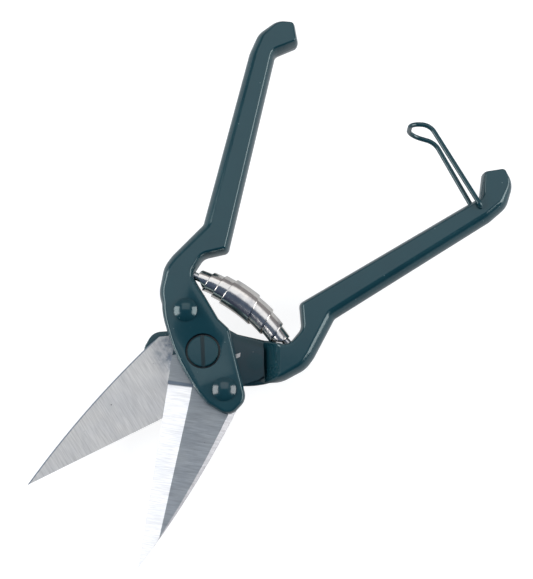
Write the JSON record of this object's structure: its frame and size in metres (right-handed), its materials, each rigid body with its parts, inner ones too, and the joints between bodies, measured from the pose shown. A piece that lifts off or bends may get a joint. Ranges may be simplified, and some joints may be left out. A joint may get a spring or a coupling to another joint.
{
  "type": "pruning shears",
  "caption": "Spring-loaded hand shears with hooked enamelled grips, riveted straight blades, a slotted pivot screw, a volute spring and a wire catch.",
  "frame": {"origin": "on the pivot axis at the outer face of the pivot screw's end, which is flush with the nut", "axes": "+Z along the pivot towards the slotted head, +Y along the centre line towards the handles, front handle towards -X"},
  "size_m": [0.1295, 0.2241, 0.0219],
  "materials": {
    "front_handle": "gloss enamel",
    "rear_handle": "gloss enamel",
    "front_blade": "ground and brushed",
    "rear_blade": "ground and brushed",
    "front_tang_rivet": "gloss enamel",
    "front_heel_rivet": "gloss enamel",
    "rear_tang_rivet": "gloss enamel",
    "rear_heel_rivet": "gloss enamel",
    "pivot_screw": "gloss enamel",
    "pivot_washer": "gloss enamel",
    "pivot_nut": "gloss enamel",
    "volute_spring": "bright rolled strip",
    "front_spring_peg": "turned",
    "rear_spring_peg": "turned",
    "wire_catch": "gloss enamel"
  },
  "bodies": {
    "rear_half": {"rear_handle": "rear_handle", "rear_blade": "rear_blade", "rear_tang_rivet": "rear_tang_rivet", "rear_heel_rivet": "rear_heel_rivet", "pivot_screw": "pivot_screw", "pivot_washer": "pivot_washer", "pivot_nut": "pivot_nut", "rear_spring_peg": "rear_spring_peg", "volute_spring": "volute_spring"},
    "front_half": {"front_handle": "front_handle", "front_blade": "front_blade", "front_tang_rivet": "front_tang_rivet", "front_heel_rivet": "front_heel_rivet", "front_spring_peg": "front_spring_peg"},
    "catch": {"wire_catch": "wire_catch"}
  },
  "joints": [
    {"name": "pivot", "type": "hinge", "parent": "rear_half", "child": "front_half", "pos_m": [0, 0, 0.0127], "axis": [0, 0, -1], "range_deg": [0, 37], "stiffness_Nm_per_rad": 3, "springref_deg": -6.88, "deforming": ["volute_spring"]},
    {"name": "catch_swing", "type": "hinge", "parent": "rear_half", "child": "catch", "pos_m": [0.0579, 0.117, 0.0127], "axis": [0, 0, -1], "range_deg": [0, 90]}
  ],
  "couplings": [
    {"joint": "catch_swing", "follows": "pivot", "ratio": 2.2}
  ]
}
